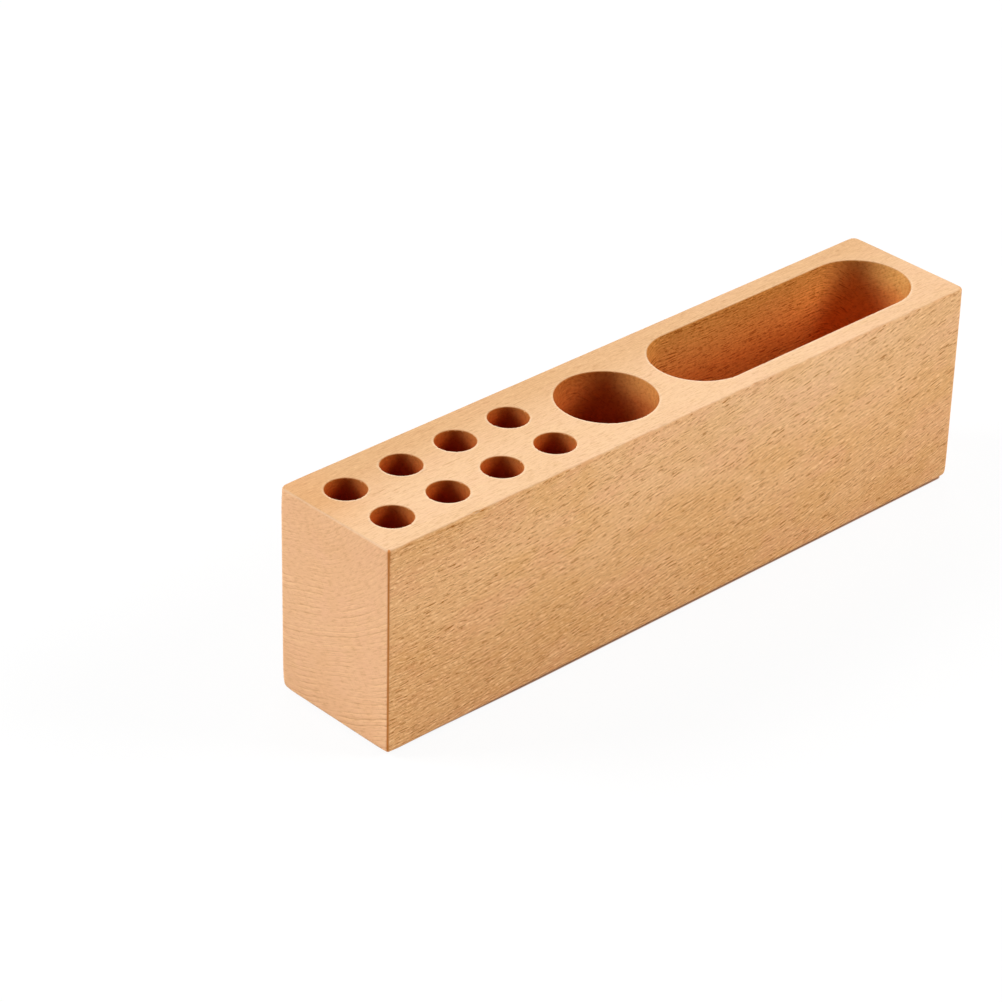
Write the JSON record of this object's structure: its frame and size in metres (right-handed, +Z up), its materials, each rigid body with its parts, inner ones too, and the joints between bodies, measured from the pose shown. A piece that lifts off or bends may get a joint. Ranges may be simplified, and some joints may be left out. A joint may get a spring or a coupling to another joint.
{
  "type": "pen holder",
  "caption": "Solid beech desk block with rows of round pen holes, a wide round hole and a long round-ended slot, all open upwards, on thin anti-slip foot pads.",
  "frame": {"origin": "on the desk, under the middle of the block", "axes": "+X along the block from the pen holes to the long slot, +Y from the front face to the back, +Z up"},
  "size_m": [0.23, 0.045, 0.066],
  "materials": {
    "beech": "sanded and lightly oiled, satin",
    "foot_rubber": "matte"
  },
  "bodies": {
    "root": {"beech_block": "beech", "foot_pad_front_left": "foot_rubber", "foot_pad_front_right": "foot_rubber", "foot_pad_back_left": "foot_rubber", "foot_pad_back_right": "foot_rubber"}
  },
  "joints": []
}
